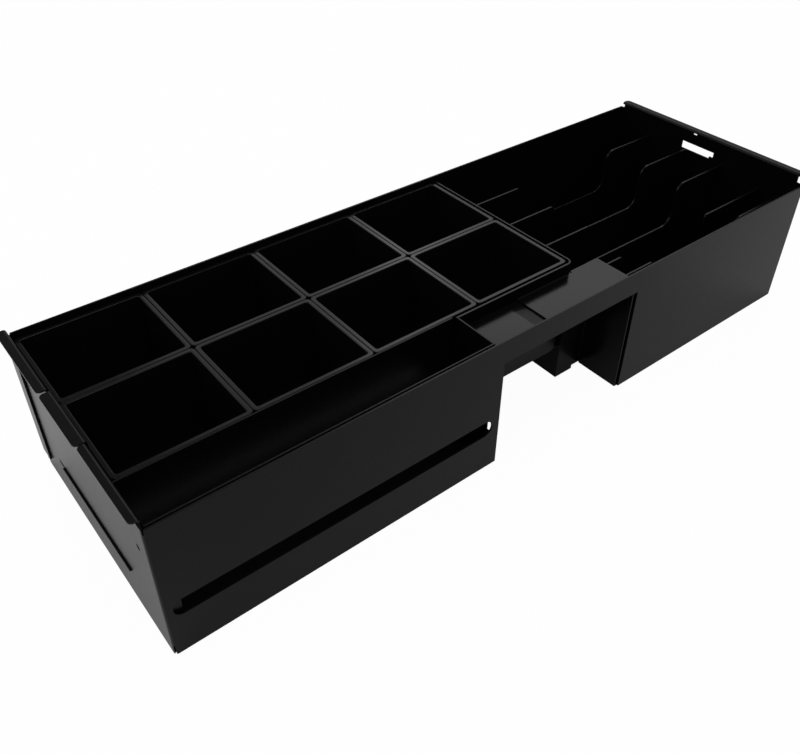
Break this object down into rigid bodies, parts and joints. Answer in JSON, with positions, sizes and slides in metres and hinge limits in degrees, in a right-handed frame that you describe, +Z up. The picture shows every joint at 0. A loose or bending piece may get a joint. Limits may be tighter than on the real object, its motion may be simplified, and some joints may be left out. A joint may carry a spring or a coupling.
{
  "type": "cash register tray",
  "caption": "Long black sheet-metal insert tray of a flip-top cash drawer: lift-out coin cups, upright note dividers, a storage trough and a bay for the lock.",
  "frame": {"origin": "middle of the tray's footprint, on the surface that it stands on", "axes": "+X along the tray from the coin end to the note end, +Y from the front wall with the bay to the back wall, +Z up"},
  "size_m": [0.4584, 0.149, 0.089],
  "materials": {
    "shell_sheet": "semi-gloss black powder coat on folded steel sheet",
    "bay_sheet": "satin black powder coat on folded steel sheet",
    "cup_plastic": "glossy moulded black plastic"
  },
  "bodies": {
    "tray": {"outer_wall": "shell_sheet", "base_pan": "shell_sheet", "coin_shelf": "shell_sheet", "storage_trough": "shell_sheet", "bay_left_wall": "bay_sheet", "bay_right_wall": "bay_sheet", "bay_end_wall": "bay_sheet", "bay_rear_panel": "bay_sheet", "bay_cover_left": "bay_sheet", "bay_cover_right": "bay_sheet", "section_partition": "shell_sheet", "note_divider_1": "shell_sheet", "note_divider_2": "shell_sheet", "note_divider_3": "shell_sheet", "slip_divider_rear": "shell_sheet", "slip_divider_front": "shell_sheet"},
    "cup_1": {"coin_cup_1": "cup_plastic"},
    "cup_2": {"coin_cup_2": "cup_plastic"},
    "cup_3": {"coin_cup_3": "cup_plastic"},
    "cup_4": {"coin_cup_4": "cup_plastic"},
    "cup_5": {"coin_cup_5": "cup_plastic"},
    "cup_6": {"coin_cup_6": "cup_plastic"},
    "cup_7": {"coin_cup_7": "cup_plastic"},
    "cup_8": {"coin_cup_8": "cup_plastic"}
  },
  "joints": [
    {"name": "cup_1_lift", "type": "slide", "parent": "tray", "child": "cup_1", "axis": [0, 0, 1], "range_m": [0, 0.066]},
    {"name": "cup_2_lift", "type": "slide", "parent": "tray", "child": "cup_2", "axis": [0, 0, 1], "range_m": [0, 0.066]},
    {"name": "cup_3_lift", "type": "slide", "parent": "tray", "child": "cup_3", "axis": [0, 0, 1], "range_m": [0, 0.066]},
    {"name": "cup_4_lift", "type": "slide", "parent": "tray", "child": "cup_4", "axis": [0, 0, 1], "range_m": [0, 0.066]},
    {"name": "cup_5_lift", "type": "slide", "parent": "tray", "child": "cup_5", "axis": [0, 0, 1], "range_m": [0, 0.066]},
    {"name": "cup_6_lift", "type": "slide", "parent": "tray", "child": "cup_6", "axis": [0, 0, 1], "range_m": [0, 0.066]},
    {"name": "cup_7_lift", "type": "slide", "parent": "tray", "child": "cup_7", "axis": [0, 0, 1], "range_m": [0, 0.066]},
    {"name": "cup_8_lift", "type": "slide", "parent": "tray", "child": "cup_8", "axis": [0, 0, 1], "range_m": [0, 0.066]}
  ]
}
